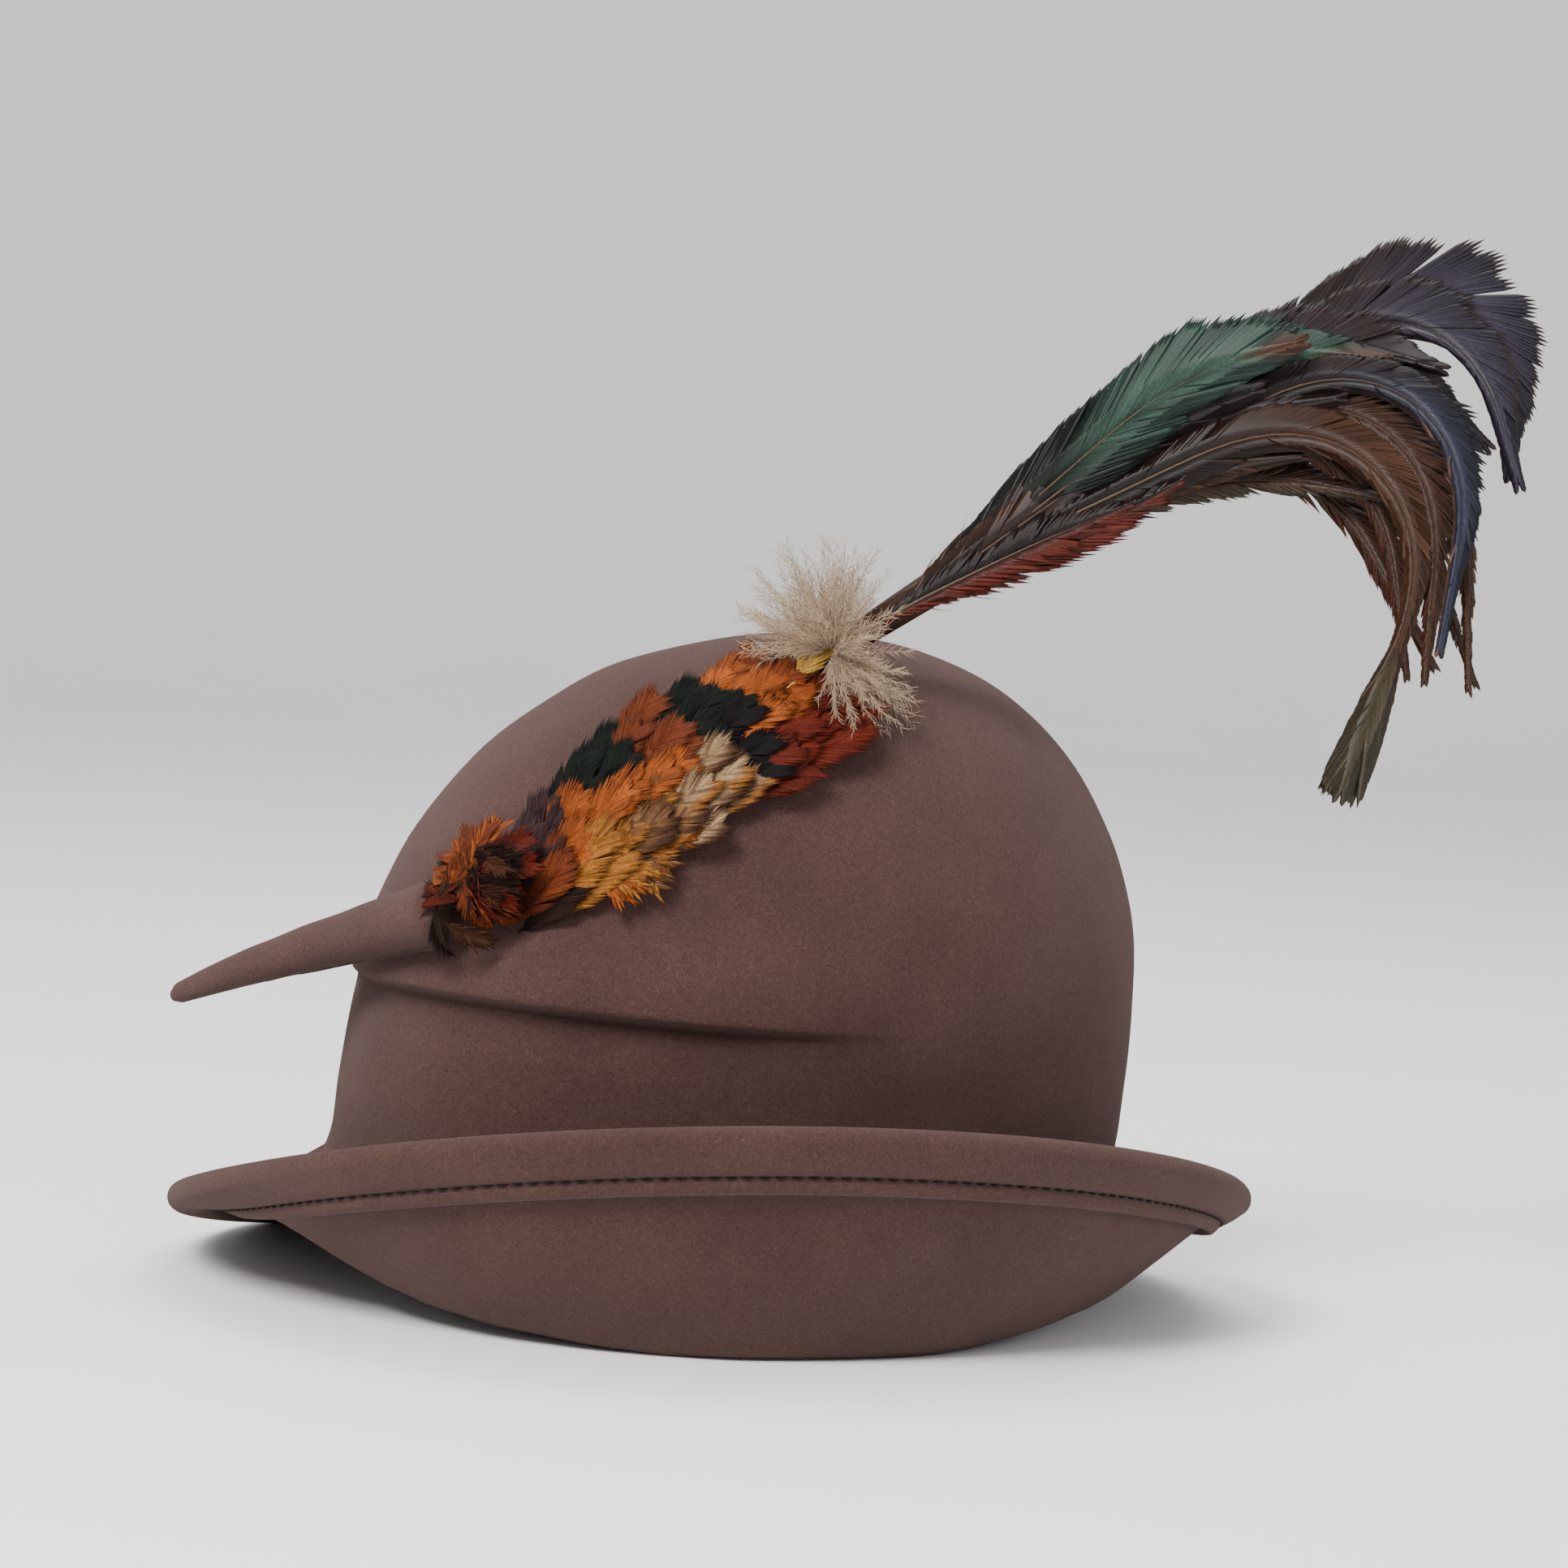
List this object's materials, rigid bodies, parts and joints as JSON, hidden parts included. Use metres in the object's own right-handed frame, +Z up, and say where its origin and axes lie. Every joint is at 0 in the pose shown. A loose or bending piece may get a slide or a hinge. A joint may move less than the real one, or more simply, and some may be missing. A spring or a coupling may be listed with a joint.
{
  "type": "wool felt hat",
  "caption": "Round-crowned wool felt hat, brim turned up at one side and down at the other, with a rolled felt stem and a feather plume.",
  "frame": {"origin": "on the surface the hat rests on, under the middle of the bounding box", "axes": "+Z up from the surface, -Y to the front of the hat, +X to the wearer's left"},
  "size_m": [0.2646, 0.2536, 0.2452],
  "materials": {
    "wool_felt": "mauve-brown wool felt with a short nap",
    "rust_feather": "rust and black pheasant feathers",
    "cream_down": "cream down",
    "dark_feather": "brown, black, green and violet tail feathers with a sheen"
  },
  "bodies": {
    "root": {"felt_body": "wool_felt", "felt_stem": "wool_felt", "feather_pad": "rust_feather", "cream_fluff": "cream_down", "tail_plume": "dark_feather"}
  },
  "joints": []
}
